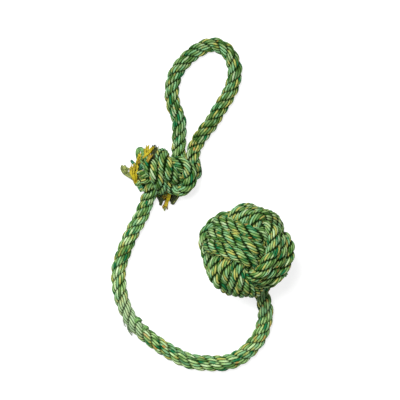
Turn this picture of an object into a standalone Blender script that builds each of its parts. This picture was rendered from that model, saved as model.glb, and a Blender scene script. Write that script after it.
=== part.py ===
"""A monkey's fist on a short lead with an eye: laid rope, tied and lying flat.

Metres, +Z up. The object lies on the plane Z = 0. The eye points along +Y and
the fist lies towards -Y. The origin is under the middle of the whole object.
"""
import math

import bmesh
import bpy
import numpy as np

# Driving dimensions, in metres
ROPE = 0.0120                    # the rope where nothing squeezes it
FIST_ROPE = 0.0094               # the same rope, drawn tight in the fist
KNOT_ROPE = 0.0096               # the same rope, drawn tight in the knot
KNOT_GAP = 0.0012                # air laid between neighbours in the knot
FIST_GAP = 0.0014                # air laid between neighbours in the fist
SEAT_GAP = 0.0003                # air left where one piece meets the next
CORE = 0.0360                    # the ball that the fist is tied round
CORE_AIR = 0.0008                # air left between the ball and the turns
FIST_REACH = 0.0368              # the furthest that a turn's middle lies out
TURNS = 3                        # turns in each of the three sets
FIST_PLACE = (0.0369, -0.0394)   # the middle of the fist, seen from above
FIST_HEADING = -17.0             # degrees: how the top turns run, from +X
FIST_LEAN = 26.0                 # degrees: the top set faces this much to -X
FIST_NOD = 4.0                   # degrees: and this much to +Y
FIST_HOLE = (0.0160, -0.0310, -0.0180)   # where the rope goes in, from the middle
STRAND = 0.0042                  # one strand of the rope, opened out
STRAND_TIP = 0.0020              # the same strand at its frayed tip
FLAT_SHARE = 0.10                # the fist's lowest turn is cut by this share

# How the tubes are stepped
FINE = 0.0035                    # while the turns settle against each other
LOOP_POINTS = 32                 # points along one finished turn
WRAP_STEP = 0.0045               # along a finished wrap of the knot
FREE_STEP = 0.0085               # along a free stretch of rope
TAPER = 0.0120                   # over which the rope is drawn thinner
SQUARE = 0.0045                  # the straight piece at each end of a tube

# Rope colours
MID_GREEN = (0.150, 0.290, 0.120)
DEEP_GREEN = (0.060, 0.170, 0.110)
PALE_GREEN = (0.260, 0.380, 0.180)
YELLOW = (0.560, 0.460, 0.070)
WOOD = (0.420, 0.280, 0.150)

# The lead lies on the table from the fist, round the curve, to the eye's knot
LEAD_ROUTE = [
    (0.0528, -0.0895, 0.0095), (0.0524, -0.0981, 0.0072),
    (0.0499, -0.1072, 0.0066), (0.0446, -0.1163, 0.0062), (0.0332, -0.1282, 0.0062),
    (0.0197, -0.1347, 0.0062), (0.0051, -0.1352, 0.0062), (-0.0122, -0.1331, 0.0062),
    (-0.0297, -0.1250, 0.0062), (-0.0448, -0.1147, 0.0062), (-0.0541, -0.1065, 0.0062),
    (-0.0632, -0.0951, 0.0062), (-0.0692, -0.0816, 0.0062), (-0.0719, -0.0686, 0.0062),
    (-0.0719, -0.0556, 0.0062), (-0.0676, -0.0394, 0.0062), (-0.0610, -0.0236, 0.0062),
    (-0.0524, -0.0079, 0.0062), (-0.0486, 0.0020, 0.0064),
]

# Inside the knot the lead turns along its foot, up the right side and back
# through both wraps, and ends cut at the left
LEAD_END_ROUTE = [
    (-0.0472, 0.0075, 0.0072), (-0.0458, 0.0140, 0.0095), (-0.0425, 0.0205, 0.0130),
    (-0.0375, 0.0235, 0.0150), (-0.0325, 0.0212, 0.0140), (-0.0275, 0.0162, 0.0135),
    (-0.0215, 0.0142, 0.0150), (-0.0162, 0.0155, 0.0185), (-0.0128, 0.0192, 0.0225),
    (-0.0118, 0.0243, 0.0255), (-0.0132, 0.0297, 0.0275), (-0.0168, 0.0342, 0.0290),
    (-0.0225, 0.0362, 0.0290), (-0.0280, 0.0350, 0.0260), (-0.0335, 0.0315, 0.0215),
    (-0.0400, 0.0272, 0.0200), (-0.0465, 0.0240, 0.0200), (-0.0530, 0.0215, 0.0200),
]

# The eye is a second length of rope: its left leg, the loop, its right leg
EYE_ROUTE = [
    (-0.0207, 0.0490, 0.0064), (-0.0203, 0.0618, 0.0062), (-0.0210, 0.0726, 0.0062),
    (-0.0249, 0.0826, 0.0062), (-0.0269, 0.0930, 0.0062), (-0.0262, 0.1036, 0.0062),
    (-0.0224, 0.1134, 0.0062), (-0.0141, 0.1238, 0.0062), (-0.0037, 0.1317, 0.0062),
    (0.0089, 0.1355, 0.0062), (0.0207, 0.1290, 0.0062), (0.0267, 0.1169, 0.0062),
    (0.0271, 0.1095, 0.0062), (0.0250, 0.1000, 0.0062), (0.0207, 0.0909, 0.0062),
    (0.0128, 0.0787, 0.0062), (0.0067, 0.0683, 0.0062), (-0.0024, 0.0575, 0.0062),
    (-0.0068, 0.0500, 0.0064),
]

# The right leg runs straight through the knot and ends cut at the lower left
RIGHT_LEG_ROUTE = [
    (-0.0103, 0.0425, 0.0070), (-0.0106, 0.0365, 0.0080), (-0.0088, 0.0300, 0.0085),
    (-0.0082, 0.0243, 0.0085), (-0.0112, 0.0200, 0.0085), (-0.0170, 0.0195, 0.0110),
    (-0.0235, 0.0225, 0.0140), (-0.0300, 0.0245, 0.0155), (-0.0360, 0.0245, 0.0155),
    (-0.0428, 0.0215, 0.0140), (-0.0490, 0.0185, 0.0115), (-0.0545, 0.0155, 0.0090),
]

# The left leg dives under the knot, winds round it twice and ends at its foot
LEFT_LEG_ROUTE = [
    (-0.0210, 0.0400, 0.0060), (-0.0215, 0.0300, 0.0056), (-0.0225, 0.0225, 0.0070),
    (-0.0228, 0.0195, 0.0160), (-0.0250, 0.0205, 0.0290), (-0.0295, 0.0280, 0.0365),
    (-0.0338, 0.0385, 0.0335), (-0.0352, 0.0430, 0.0200), (-0.0352, 0.0385, 0.0080),
    (-0.0350, 0.0285, 0.0054), (-0.0345, 0.0215, 0.0060), (-0.0350, 0.0175, 0.0160),
    (-0.0375, 0.0200, 0.0310), (-0.0418, 0.0280, 0.0365), (-0.0465, 0.0360, 0.0310),
    (-0.0475, 0.0385, 0.0190), (-0.0450, 0.0320, 0.0075), (-0.0405, 0.0210, 0.0054),
    (-0.0360, 0.0130, 0.0052), (-0.0330, 0.0075, 0.0052),
]

# Opened strands: a name, the rope end that each grows from, its place in that
# end, its colour and the points that it lies through
FRAYS = [
    ("left_fray_fringe", 0, 0, YELLOW,
     [(-0.0592, 0.0275, 0.0240), (-0.0580, 0.0355, 0.0185), (-0.0545, 0.0440, 0.0120),
      (-0.0490, 0.0490, 0.0080)]),
    ("left_fray_tuft", 0, 1, YELLOW,
     [(-0.0590, 0.0158, 0.0225), (-0.0630, 0.0135, 0.0150), (-0.0620, 0.0095, 0.0070)]),
    ("left_fray_curl", 0, 2, PALE_GREEN,
     [(-0.0612, 0.0205, 0.0150), (-0.0668, 0.0240, 0.0085), (-0.0697, 0.0290, 0.0060),
      (-0.0683, 0.0326, 0.0070)]),
    ("foot_fray_left", 1, 0, DEEP_GREEN,
     [(-0.0352, 0.0030, 0.0060), (-0.0385, -0.0015, 0.0045)]),
    ("foot_fray_right", 1, 1, DEEP_GREEN,
     [(-0.0275, 0.0040, 0.0060), (-0.0238, 0.0005, 0.0045)]),
    ("foot_fray_middle", 1, 2, YELLOW,
     [(-0.0313, 0.0010, 0.0026), (-0.0312, -0.0060, 0.0026)]),
]


def clear_scene():
    """Start from an empty scene."""
    for obj in list(bpy.data.objects):
        bpy.data.objects.remove(obj, do_unlink=True)


def make_collection(name):
    """A collection under the scene's own."""
    group = bpy.data.collections.new(name)
    bpy.context.scene.collection.children.link(group)
    return group


def make_material(name, colour, roughness=0.9):
    """A plain finish in the piece's own colour."""
    mat = bpy.data.materials.new(name)
    mat.use_nodes = True
    shader = mat.node_tree.nodes["Principled BSDF"]
    shader.inputs["Base Color"].default_value = (*colour, 1.0)
    shader.inputs["Roughness"].default_value = roughness
    mat.diffuse_color = (*colour, 1.0)
    return mat


def move_to(obj, group):
    """Put an object in this collection and in no other."""
    for owner in list(obj.users_collection):
        owner.objects.unlink(obj)
    group.objects.link(obj)


def lengths_along(points):
    """The distance of each point from the first, along the path."""
    steps = np.linalg.norm(np.diff(points, axis=0), axis=1)
    return np.concatenate([[0.0], np.cumsum(steps)])


def read_at(points, places):
    """The points that lie at these distances along a path."""
    along = lengths_along(points)
    return np.stack([np.interp(places, along, points[:, k]) for k in range(3)], axis=1)


def even_points(points, spacing):
    """The same path with its points an even distance apart."""
    total = lengths_along(points)[-1]
    count = max(3, int(round(total / spacing)) + 1)
    return read_at(points, np.linspace(0.0, total, count))


def smooth_route(chosen, spacing):
    """A smooth curve through the chosen points, read at an even spacing."""
    p = np.array(chosen, dtype=float)
    p = np.vstack([2.0 * p[0] - p[1], p, 2.0 * p[-1] - p[-2]])
    t = np.linspace(0.0, 1.0, 20, endpoint=False)[:, None]
    spans = []
    for a, b, c, d in zip(p[:-3], p[1:-2], p[2:-1], p[3:]):
        linear = (c - a) * t
        square = (2.0 * a - 5.0 * b + 4.0 * c - d) * t ** 2
        cubic = (3.0 * b - a - 3.0 * c + d) * t ** 3
        spans.append(0.5 * (2.0 * b + linear + square + cubic))
    return even_points(np.vstack(spans + [p[-2:-1]]), spacing)


def nearest_to(path, point):
    """The index of the path's point that lies nearest to this one."""
    return int(np.argmin(np.linalg.norm(path - np.array(point), axis=1)))


def straighten(path, places, half):
    """Make a path run straight for a little way on both sides of each place."""
    along = lengths_along(path)
    path = path.copy()
    for place in places:
        first, last = read_at(path, np.array([place - half, place + half]))
        inside = np.abs(along - place) <= half
        share = (along[inside] - place + half) / (2.0 * half)
        path[inside] = first + share[:, None] * (last - first)
    return path


def settle(paths, radii, free, air, shell=None, inward=0.0, smooth=0.22, steps=260):
    """Let rope paths press on each other until they lie side by side.

    Points of different turns push apart until there is this much air between
    them, and every path stays smooth. Only free points may move. A shell
    keeps the paths between two distances from the middle, and they are drawn in
    towards it. Without one they stay above the plane that the object lies on.
    """
    ends = np.cumsum([0] + [len(p) for p in paths])
    x = np.concatenate(paths)
    radius = np.concatenate(radii)
    loose = np.concatenate(free)
    start = x.copy()
    owner = np.repeat(np.arange(len(paths)), np.diff(ends))
    along = np.concatenate([lengths_along(p) for p in paths])
    clear = radius[:, None] + radius[None] + air
    near = np.abs(along[:, None] - along[None]) < 1.6 * clear
    apart = ~((owner[:, None] == owner[None]) & near)
    apart &= np.triu(np.ones(apart.shape, dtype=bool), 1)
    for step in range(steps):
        if shell is not None:
            x = x * (1.0 - inward * max(0.0, 1.0 - step / (0.75 * steps)))
        square = (x ** 2).sum(axis=1)
        gap2 = square[:, None] + square[None] - 2.0 * x @ x.T
        first, second = np.nonzero(apart & (gap2 < clear ** 2))
        away = x[first] - x[second]
        gap = np.linalg.norm(away, axis=1)[:, None] + 1e-9
        push = away / gap * (clear[first, second][:, None] - gap) * 0.5
        total = np.zeros_like(x)
        hits = np.ones(len(x))
        np.add.at(total, first, push)
        np.add.at(total, second, -push)
        np.add.at(hits, first, 0.35)
        np.add.at(hits, second, 0.35)
        x = x + 1.5 * total / hits[:, None]
        for lo, hi in zip(ends[:-1], ends[1:]):
            middle = (x[lo:hi - 2] + x[lo + 2:hi]) / 2.0 - x[lo + 1:hi - 1]
            x[lo + 1:hi - 1] += smooth * middle
        if shell is None:
            x[:, 2] = np.maximum(x[:, 2], radius + SEAT_GAP)
        else:
            reach = np.linalg.norm(x, axis=1)[:, None]
            limit = shell[1] if step > 0.3 * steps else 2.0 * shell[1]
            x = x * np.clip(reach, shell[0], limit) / reach
        x[~loose] = start[~loose]
    return [x[lo:hi] for lo, hi in zip(ends[:-1], ends[1:])]


def least_gap(path, radius, other=None, other_radius=None):
    """The least air between two tubes, or between the turns of one."""
    if other is None:
        other, other_radius = path, radius
    gap = np.linalg.norm(path[:, None] - other[None], axis=2)
    gap = gap - radius[:, None] - other_radius[None]
    if other is path:
        along = lengths_along(path)
        gap = gap[np.abs(along[:, None] - along[None]) > 4.5 * radius.max()]
    return float(gap.min())


def fist_axes():
    """The fist's own axes: along the top turns, across them, and out of them."""
    heading = math.radians(FIST_HEADING)
    along = np.array([math.cos(heading), math.sin(heading), 0.0])
    across = np.array([-math.sin(heading), math.cos(heading), 0.0])
    lean = math.sin(math.radians(FIST_LEAN))
    nod = math.sin(math.radians(FIST_NOD))
    out = nod * across - lean * along
    out[2] = math.sqrt(1.0 - out @ out)
    along = along - (along @ out) * out
    along /= np.linalg.norm(along)
    return np.stack([along, np.cross(out, along), out], axis=1)


def one_set(first_angle, last_angle):
    """One set of turns: over the two outer faces, under the two inner ones.

    The columns are outwards on the outer faces, outwards on the inner faces,
    and the sideways step that each turn takes.
    """
    pitch = FIST_ROPE + FIST_GAP
    inner = CORE / 2.0 + FIST_ROPE / 2.0 + CORE_AIR
    outer = inner + 1.15 * pitch
    count = 1 + round((last_angle - first_angle) / 5.0)
    angle = np.radians(np.linspace(first_angle, last_angle, count))
    turned = np.clip((np.degrees(angle) + 90.0) / 360.0, 0.0, TURNS)
    sideways = pitch * (TURNS / 2.0 - turned)
    fold = np.abs((angle + math.pi / 2.0) % math.pi - math.pi / 2.0)
    fall = np.clip((np.degrees(fold) - 38.0) / 26.0, 0.0, 1.0)
    over = 1.0 - fall * fall * (3.0 - 2.0 * fall)
    radius = np.sqrt((inner + (outer - inner) * over) ** 2 - 0.16 * sideways ** 2)
    return np.stack([radius * np.cos(angle), radius * np.sin(angle), sideways], axis=1)


def fist_path():
    """The whole winding in the fist's own axes, from the lead inwards.

    The three sets follow each other in one unbroken path. Each passes over one
    of the others and under the third, and starts at the corner where the set
    before it ends. The distances where one set ends come with the path.
    """
    last = 360.0 * TURNS - 90.0
    first_set = one_set(-128.0, last + 38.0)[:, [2, 0, 1]]
    second_set = one_set(-128.0, last + 38.0)[:, [1, 2, 0]]
    third_set = one_set(-128.0, last)
    hole = fist_axes().T @ np.array(FIST_HOLE)
    lead_in = np.linspace(hole, first_set[0], 9)[:-1]
    parts = [lead_in, first_set, second_set, third_set]
    path = np.vstack(parts)
    marks = np.cumsum([len(part) for part in parts])
    shares = lengths_along(path)[marks[1:3]] / lengths_along(path)[-1]
    path = even_points(path, FINE)
    radius = np.full(len(path), FIST_ROPE / 2.0)
    free = np.ones(len(path), dtype=bool)
    free[:4] = False
    shell = (CORE / 2.0 + FIST_ROPE / 2.0 + CORE_AIR, FIST_REACH)
    path = settle([path], [radius], [free], FIST_GAP, shell, 0.02, 0.15, 400)[0]
    cuts = shares * lengths_along(path)[-1]
    return straighten(path, cuts, 0.6 * FIST_ROPE), cuts


def tube(name, path, start, end, step, radius, colour, group, sides=1, square=SQUARE):
    """A round tube along a stretch of a path, with closed ends.

    It starts and ends square, with a short straight piece at each end. Its
    radius has one number for each point of the path.
    """
    along = lengths_along(path)
    count = max(2, int(round((end - start - 2.0 * square) / step)) + 1)
    inner = np.linspace(start + square, end - square, count)
    places = np.concatenate([[start], inner, [end]])
    points = read_at(path, places)
    radii = np.interp(places, along, radius)
    curve = bpy.data.curves.new(name, "CURVE")
    curve.dimensions = "3D"
    curve.bevel_depth = ROPE / 2.0
    curve.bevel_resolution = sides
    curve.use_fill_caps = True
    spline = curve.splines.new("POLY")
    spline.points.add(len(points) - 1)
    for k, point in enumerate(points):
        spline.points[k].co = (*point, 1.0)
        spline.points[k].radius = radii[k] / (ROPE / 2.0)
    curve.materials.append(make_material(name, colour))
    obj = bpy.data.objects.new(name, curve)
    group.objects.link(obj)
    return obj


def as_mesh(obj, group):
    """The same object as a welded mesh, which a cut needs."""
    graph = bpy.context.evaluated_depsgraph_get()
    mesh = bpy.data.meshes.new_from_object(obj.evaluated_get(graph))
    name = obj.name
    place = obj.matrix_world.copy()
    bpy.data.objects.remove(obj, do_unlink=True)
    work = bmesh.new()
    work.from_mesh(mesh)
    bmesh.ops.remove_doubles(work, verts=work.verts, dist=0.00001)
    work.to_mesh(mesh)
    work.free()
    fresh = bpy.data.objects.new(name, mesh)
    fresh.matrix_world = place
    group.objects.link(fresh)
    return fresh


def make_table_plane(cutters):
    """A block under the fist whose top is the plane that the object lies on."""
    size = 4.0 * CORE
    bpy.ops.mesh.primitive_cube_add(size=size, location=(*FIST_PLACE, -size / 2.0))
    block = bpy.context.object
    block.name = "table_plane"
    block.hide_render = True
    block.display_type = "WIRE"
    move_to(block, cutters)
    return block


def make_core(centre, group):
    """The plain ball in the middle of the fist."""
    bpy.ops.mesh.primitive_uv_sphere_add(segments=28, ring_count=16, radius=CORE / 2.0,
                                         location=tuple(centre))
    ball = bpy.context.object
    ball.name = "fist_core"
    ball.data.materials.append(make_material("fist_core", WOOD, 0.7))
    ball.data.shade_smooth()
    move_to(ball, group)


def make_fist(group, cutters):
    """The core and its three sets of turns. Returns the winding's path."""
    winding, cuts = fist_path()
    world = winding @ fist_axes().T
    low = world[:, 2].min() - FIST_ROPE / 2.0
    centre = np.array([*FIST_PLACE, -low - FLAT_SHARE * FIST_ROPE])
    world = world + centre
    radius = np.full(len(world), FIST_ROPE / 2.0)
    total = lengths_along(world)[-1]
    reach = np.linalg.norm(winding[12:], axis=1).max() + FIST_ROPE / 2.0
    print("fist radius", round(reach * 1000, 1), "mm, middle at", (centre * 1000).round(2))
    print("least gap between turns", round(least_gap(world, radius) * 1000, 2), "mm")
    print("rope in the fist", round(total * 1000), "mm")
    block = make_table_plane(cutters)
    bounds = [0.0, *cuts, total]
    step = total / (LOOP_POINTS * 3.0 * (TURNS + 0.3))
    names = ("fist_first_turns", "fist_second_turns", "fist_third_turns")
    colours = (MID_GREEN, PALE_GREEN, DEEP_GREEN)
    for name, start, end, colour in zip(names, bounds[:-1], bounds[1:], colours):
        opening = SEAT_GAP if start > 0.0 else 0.0
        obj = tube(name, world, start + opening, end, step, radius, colour, group)
        inside = (lengths_along(world) >= start) & (lengths_along(world) <= end)
        if world[inside, 2].min() < FIST_ROPE / 2.0:
            cut = as_mesh(obj, group).modifiers.new("flat", "BOOLEAN")
            cut.operation = "DIFFERENCE"
            cut.object = block
    lowest = world[np.argmin(world[:, 2])]
    print("fist rests at", (lowest * 1000).round(2))
    print("rope leaves at", (world[0] * 1000).round(1), "towards",
          ((world[0] - world[3]) * 1000).round(1))
    make_core(centre, group)
    return world


def drawn_radius(along, slack, tight):
    """The rope's radius at each place: full in the slack stretch, drawn outside."""
    past = np.minimum(along - slack[0], slack[1] - along)
    share = np.clip(past / TAPER, 0.0, 1.0)
    return (tight + (ROPE - tight) * share) / 2.0


def make_ropes(group, fist):
    """The lead and the eye, free and inside the knot. Returns their cut ends."""
    inward = (fist[1] - fist[0]) / np.linalg.norm(fist[1] - fist[0])
    leaving = [fist[0], fist[0] - 0.5 * ROPE * inward, fist[0] - ROPE * inward]
    lead = smooth_route(leaving + LEAD_ROUTE + LEAD_END_ROUTE, FINE)
    eye = smooth_route(LEFT_LEG_ROUTE[::-1] + EYE_ROUTE + RIGHT_LEG_ROUTE, FINE)
    lead_in = nearest_to(lead, LEAD_ROUTE[-1])
    left_in = nearest_to(eye, EYE_ROUTE[0])
    right_in = nearest_to(eye, EYE_ROUTE[-1])
    along = lengths_along(lead)
    lead_radius = drawn_radius(along, (0.0, along[lead_in]), KNOT_ROPE)
    lead_free = (along > along[lead_in] - ROPE) & (along < along[-1] - 0.5 * ROPE)
    along = lengths_along(eye)
    eye_radius = drawn_radius(along, (along[left_in], along[right_in]), KNOT_ROPE)
    eye_free = (along < along[left_in] + ROPE) | (along > along[right_in] - ROPE)
    eye_free &= (along > 0.5 * ROPE) & (along < along[-1] - 0.5 * ROPE)
    lead, eye = settle([lead, eye], [lead_radius, eye_radius], [lead_free, eye_free],
                       KNOT_GAP, smooth=0.06, steps=900)
    along = lengths_along(lead)
    lead_cut, lead_end = along[lead_in], along[-1]
    along = lengths_along(eye)
    left_cut, right_cut, eye_end = along[left_in], along[right_in], along[-1]
    lead = straighten(lead, [lead_cut], 0.6 * ROPE)
    eye = straighten(eye, [left_cut, right_cut], 0.6 * ROPE)
    print("gaps in the knot, mm:", round(least_gap(lead, lead_radius) * 1000, 2),
          round(least_gap(eye, eye_radius) * 1000, 2),
          round(least_gap(lead, lead_radius, eye, eye_radius) * 1000, 2))
    pieces = [
        ("lead_rope", lead, SEAT_GAP, lead_cut, FREE_STEP, lead_radius, MID_GREEN, 2),
        ("knot_lead_end", lead, lead_cut + SEAT_GAP, lead_end, WRAP_STEP, lead_radius,
         PALE_GREEN, 1),
        ("knot_left_leg_wraps", eye, 0.0, left_cut, WRAP_STEP, eye_radius, MID_GREEN, 1),
        ("eye_loop", eye, left_cut + SEAT_GAP, right_cut, FREE_STEP, eye_radius,
         MID_GREEN, 2),
        ("knot_right_leg", eye, right_cut + SEAT_GAP, eye_end, WRAP_STEP, eye_radius,
         DEEP_GREEN, 1),
    ]
    for name, path, start, end, step, radius, colour, sides in pieces:
        tube(name, path, start, end, step, radius, colour, group, sides)
        print(name, round((end - start) * 1000), "mm long")
    return [(lead[-1], lead[-1] - lead[-2]), (eye[0], eye[0] - eye[1])]


def make_frays(group, cut_ends):
    """Strands that have opened out of the cut ends, three to an end."""
    for name, end, slot, colour, route in FRAYS:
        middle, onward = cut_ends[end]
        onward = onward / np.linalg.norm(onward)
        side = np.cross(onward, (0.0, 0.0, 1.0))
        side /= np.linalg.norm(side)
        up = np.cross(side, onward)
        turn = math.radians(30.0 + 120.0 * slot)
        away = (STRAND + 2.0 * SEAT_GAP) / math.sqrt(3.0)
        root = middle + away * (math.cos(turn) * side + math.sin(turn) * up)
        root = root + 2.0 * SEAT_GAP * onward
        straight = [root, root + 0.4 * STRAND * onward, root + 0.8 * STRAND * onward]
        path = smooth_route(straight + route, STRAND / 4.0)
        total = lengths_along(path)[-1]
        share = lengths_along(path) / total
        radius = (STRAND + (STRAND_TIP - STRAND) * share ** 2) / 2.0
        tube(name, path, 0.0, total, 0.8 * STRAND, radius, colour, group,
             square=0.5 * STRAND)


def put_over_origin(group, cutters):
    """Move everything sideways until the middle of the whole is over the origin."""
    graph = bpy.context.evaluated_depsgraph_get()
    points = []
    for obj in group.objects:
        shape = obj.evaluated_get(graph)
        points += [obj.matrix_world @ vert.co for vert in shape.to_mesh().vertices]
        shape.to_mesh_clear()
    points = np.array(points)
    shift = -(points.min(axis=0) + points.max(axis=0)) / 2.0
    for obj in list(group.objects) + list(cutters.objects):
        obj.location.x += shift[0]
        obj.location.y += shift[1]
    print("moved by", (shift[:2] * 1000).round(3), "mm")


def main():
    clear_scene()
    group = make_collection("monkey_fist_lanyard")
    cutters = make_collection("cutters")
    fist = make_fist(group, cutters)
    cut_ends = make_ropes(group, fist)
    make_frays(group, cut_ends)
    put_over_origin(group, cutters)


main()
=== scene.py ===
# %% [markdown]
# A monkey's fist on its lead. The real one is made of two lengths of green laid
# rope. The long one is wound round a ball in three sets of turns, leaves that fist
# as a curved lead and ends inside a knot. The short one makes the eye above the
# knot. This lesson dresses the plain solids of the part in rope that is really laid
# from three strands, each strand from six yarns.

# %% Load the part
import math

import bmesh
import bpy
import numpy as np
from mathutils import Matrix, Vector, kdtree


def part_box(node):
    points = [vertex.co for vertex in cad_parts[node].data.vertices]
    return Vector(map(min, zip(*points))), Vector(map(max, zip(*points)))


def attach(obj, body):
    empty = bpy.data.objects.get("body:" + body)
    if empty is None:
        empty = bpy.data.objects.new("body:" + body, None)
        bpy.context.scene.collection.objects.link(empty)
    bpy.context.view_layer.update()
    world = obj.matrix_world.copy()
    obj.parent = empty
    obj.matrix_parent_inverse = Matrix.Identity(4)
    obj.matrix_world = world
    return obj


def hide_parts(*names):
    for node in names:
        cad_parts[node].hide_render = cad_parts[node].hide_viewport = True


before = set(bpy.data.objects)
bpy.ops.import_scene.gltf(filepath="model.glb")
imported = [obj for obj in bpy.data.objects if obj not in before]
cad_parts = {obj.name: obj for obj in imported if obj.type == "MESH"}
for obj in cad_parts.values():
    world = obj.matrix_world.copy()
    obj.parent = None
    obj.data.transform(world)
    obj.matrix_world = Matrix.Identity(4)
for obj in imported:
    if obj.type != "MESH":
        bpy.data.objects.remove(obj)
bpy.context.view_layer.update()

# %% [markdown]
# The sizes come first. All of them are in metres and follow the real rope: three
# fat strands, laid to the right, so that the grooves climb like the stroke of a Z.
# The rope is thinner where it is drawn tight, and the drawn turns press into each
# other a little, as soft rope does.

# %% Sizes of the rope
ROPE = 0.0130                # across the free rope, over its strands
FIST_ROPE = 0.0118           # across a turn of the fist
KNOT_ROPE = 0.0128           # across a turn of the knot
LAY = 0.0272                 # along the rope for one turn of a strand
STRAND_SHARE = 0.248         # a strand's radius, as a share of the rope across
PRESSED = 0.86               # how far the strands are pressed flat; 1 leaves them round
YARNS = 6                    # yarns that show round one strand
YARN_POINTS = 5              # points of the strand's outline to each yarn
GROOVE = 0.26                # how deep the outline dips between two yarns
FINE = 0.0035                # step of the paths while they settle
RING = 0.0009                # step of the finished strands
FLOOR_AIR = 0.0002           # the rope stays this far above the floor
TAPER = 0.0120               # along the rope, from its slack width to its drawn width
print("yarns round the rope:", 3 * YARNS, "and one turn of a strand takes", LAY * 1000, "mm")

# %% [markdown]
# The camera looks straight down, as the photograph does. A new camera already points
# down, so it only needs a place. It stands well back, so that the tall fist doesn't
# swell towards the lens, and its lens is worked out from there: the photograph's
# frame is 340 millimetres across at the height of the rope.

# %% Camera
FRAME_WIDTH = 0.340
CAMERA_HEIGHT = 1.60
FRAME_MIDDLE = (-0.0013, 0.0035)
CAMERA_SEES = 10.0           # nothing farther than this is drawn


def put(name, data):
    """A new object with this data, linked into the scene."""
    obj = bpy.data.objects.new(name, data)
    bpy.context.scene.collection.objects.link(obj)
    return obj


camera_data = bpy.data.cameras.new("camera")
camera = put("camera", camera_data)
camera.location = (*FRAME_MIDDLE, CAMERA_HEIGHT)
camera_data.lens = camera_data.sensor_width * (CAMERA_HEIGHT - ROPE / 2.0) / FRAME_WIDTH
camera_data.clip_end = CAMERA_SEES
bpy.context.scene.camera = camera
print("lens:", round(camera_data.lens), "mm")

# %% [markdown]
# Rope follows paths, and a path here is a list of points in space. Blender's own
# curves could hold them too, but the turns have to be pushed about point by point,
# which is easier with plain arrays. These helpers measure a path, read it at any
# distance, and draw a smooth curve through a few given points.

# %% Paths
STEPS_PER_SPAN = 20          # points drawn between two chosen ones


def lengths_along(points):
    """The distance of each point from the first, along the path."""
    steps = np.linalg.norm(np.diff(points, axis=0), axis=1)
    return np.concatenate([[0.0], np.cumsum(steps)])


def read_at(points, places):
    """The points that lie at these distances along a path."""
    along = lengths_along(points)
    return np.stack([np.interp(places, along, points[:, k]) for k in range(3)], axis=1)


def even_points(points, spacing):
    """The same path with its points an even distance apart."""
    total = lengths_along(points)[-1]
    count = max(3, int(round(total / spacing)) + 1)
    return read_at(points, np.linspace(0.0, total, count))


def smooth_route(chosen, spacing):
    """A smooth curve through the chosen points, read at an even spacing."""
    p = np.array(chosen, dtype=float)
    p = np.vstack([2.0 * p[0] - p[1], p, 2.0 * p[-1] - p[-2]])
    t = np.linspace(0.0, 1.0, STEPS_PER_SPAN, endpoint=False)[:, None]
    spans = []
    for a, b, c, d in zip(p[:-3], p[1:-2], p[2:-1], p[3:]):
        linear = (c - a) * t
        square = (2.0 * a - 5.0 * b + 4.0 * c - d) * t ** 2
        cubic = (3.0 * b - a - 3.0 * c + d) * t ** 3
        spans.append(0.5 * (2.0 * b + linear + square + cubic))
    return even_points(np.vstack(spans + [p[-2:-1]]), spacing)


def nearest_to(path, point):
    """The index of the path's point that lies nearest to this one."""
    return int(np.argmin(np.linalg.norm(path - np.array(point), axis=1)))


corner = smooth_route([(0.0, 0.0, 0.0), (0.03, 0.0, 0.0), (0.03, 0.03, 0.0)], FINE)
print("a smooth route round a corner of 30 and 30 mm is",
      round(lengths_along(corner)[-1] * 1000, 1), "mm long")

# %% [markdown]
# Turns of rope can't lie through each other. Each turn could be placed by hand, but
# there are nine in the fist alone. So rough loops are laid first, and then they
# settle. Points of different turns push each other apart, each path smooths itself,
# and the fist is drawn in round its ball.

# %% Let the turns settle
PUSH = 1.5                   # how hard two turns part; more parts them in fewer steps
CROWD = 0.35                 # how much each neighbour in reach softens that push
OWN_STRETCH = 1.6            # a rope doesn't push itself within this many widths
DRAWN_IN_BY = 0.75           # share of the steps in which the fist is drawn in
LID_FROM = 0.3               # share of the steps after which its outside is held
LOOSE_LID = 2.0              # until then it may reach this many times as far
NO_GAP = 1e-9                # keeps two points in one place from dividing by nothing


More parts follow.
